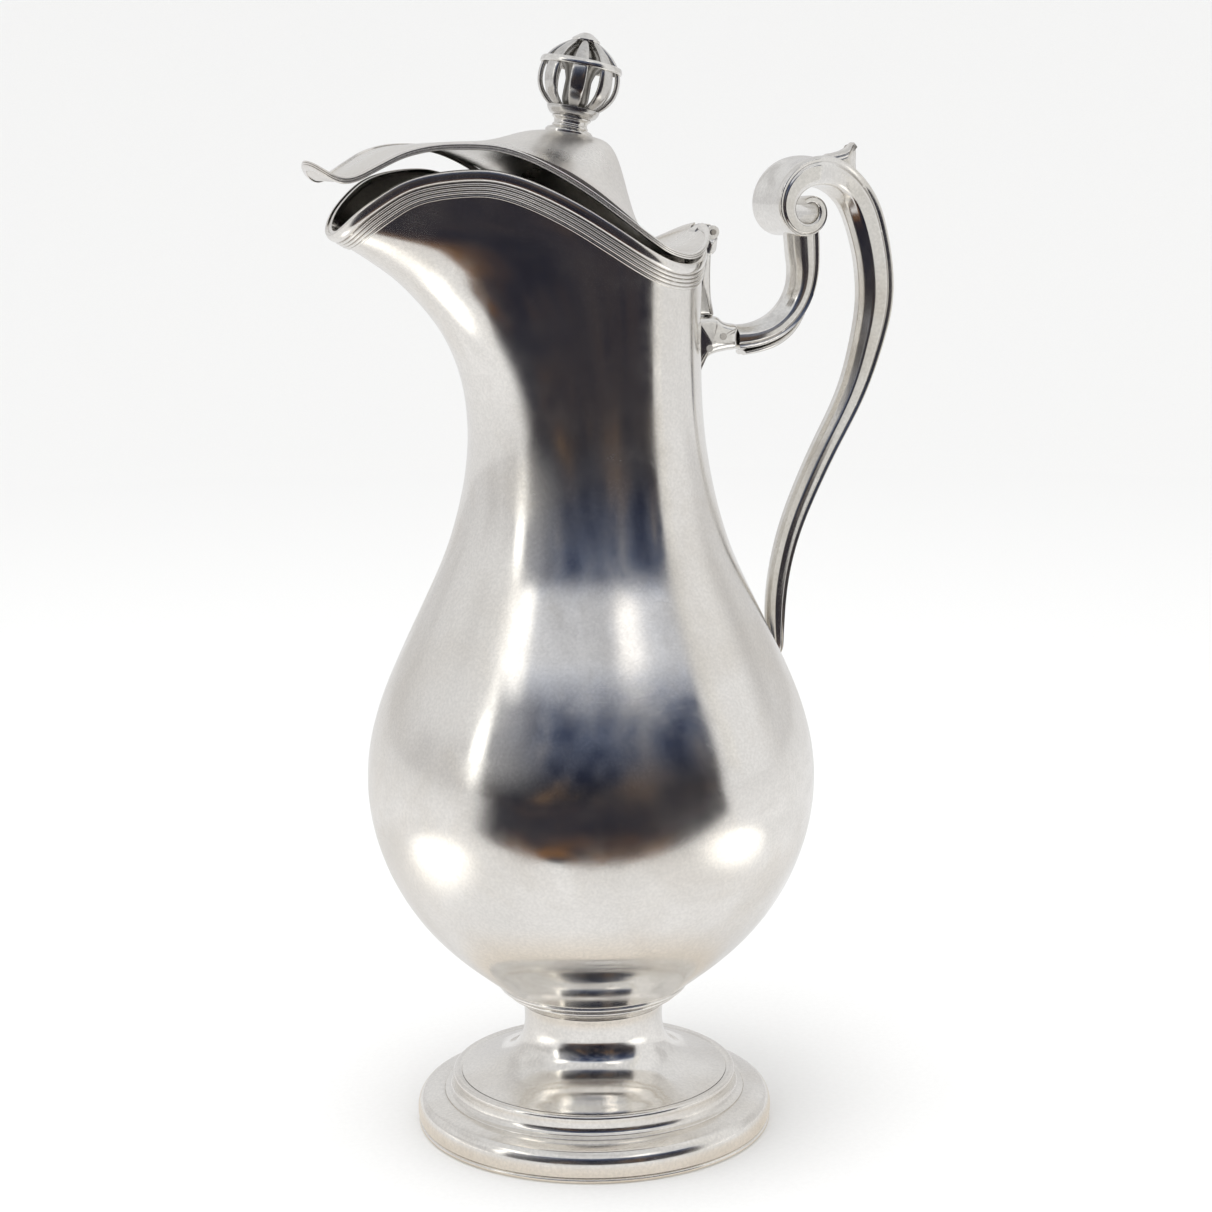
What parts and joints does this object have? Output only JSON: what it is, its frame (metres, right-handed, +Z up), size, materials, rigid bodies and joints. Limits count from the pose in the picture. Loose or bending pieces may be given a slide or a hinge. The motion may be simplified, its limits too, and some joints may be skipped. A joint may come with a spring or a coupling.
{
  "type": "lidded silver water pitcher",
  "caption": "Pear-shaped silver water pitcher on a stepped round foot, with a wavy reeded rim, scroll handle and a hinged domed lid topped by an openwork orb.",
  "frame": {"origin": "centre of the foot's resting face, on the axis of the round body", "axes": "+Z up along the body's axis, spout towards -X, handle towards +X, symmetric about the XZ plane"},
  "size_m": [0.1862, 0.1364, 0.3318],
  "materials": {
    "silver": "polished silver sheet with fine wear and faint warm tarnish",
    "silver_moulding": "polished silver wire moulding, tarnish in the grooves",
    "cast_silver": "polished cast silver with tarnish in the recesses",
    "pin_silver": "worn silver wire and rivet heads",
    "dark_silver": "tarnished turned silver inside the finial"
  },
  "bodies": {
    "jug": {"body_shell": "silver", "rim_moulding": "silver_moulding", "foot_stem": "silver", "foot_step": "silver", "foot_band": "silver", "foot_base_wire": "silver_moulding", "stem_collar_upper": "silver_moulding", "stem_collar_lower": "silver_moulding", "hinge_bracket": "cast_silver", "hinge_knuckles": "cast_silver", "hinge_pin": "pin_silver", "handle_socket": "cast_silver", "socket_rivets": "pin_silver", "handle_arm": "cast_silver", "arm_leaf": "cast_silver", "handle_volute": "cast_silver", "thumb_leaf": "cast_silver", "handle_grip": "cast_silver", "lower_terminal": "cast_silver"},
    "lid": {"lid_shell": "silver", "lid_edge_wire": "silver_moulding", "lid_hinge_leaf": "cast_silver", "finial_seat": "cast_silver", "finial_collar": "cast_silver", "finial_cup": "cast_silver", "finial_ribs": "cast_silver", "finial_ring": "cast_silver", "finial_bud": "cast_silver", "finial_core": "dark_silver", "finial_nut": "pin_silver"}
  },
  "joints": [
    {"name": "lid_hinge", "type": "hinge", "parent": "jug", "child": "lid", "pos_m": [0.0392, 0, 0.2736], "axis": [0, 1, 0], "range_deg": [-3.4, 90]}
  ]
}
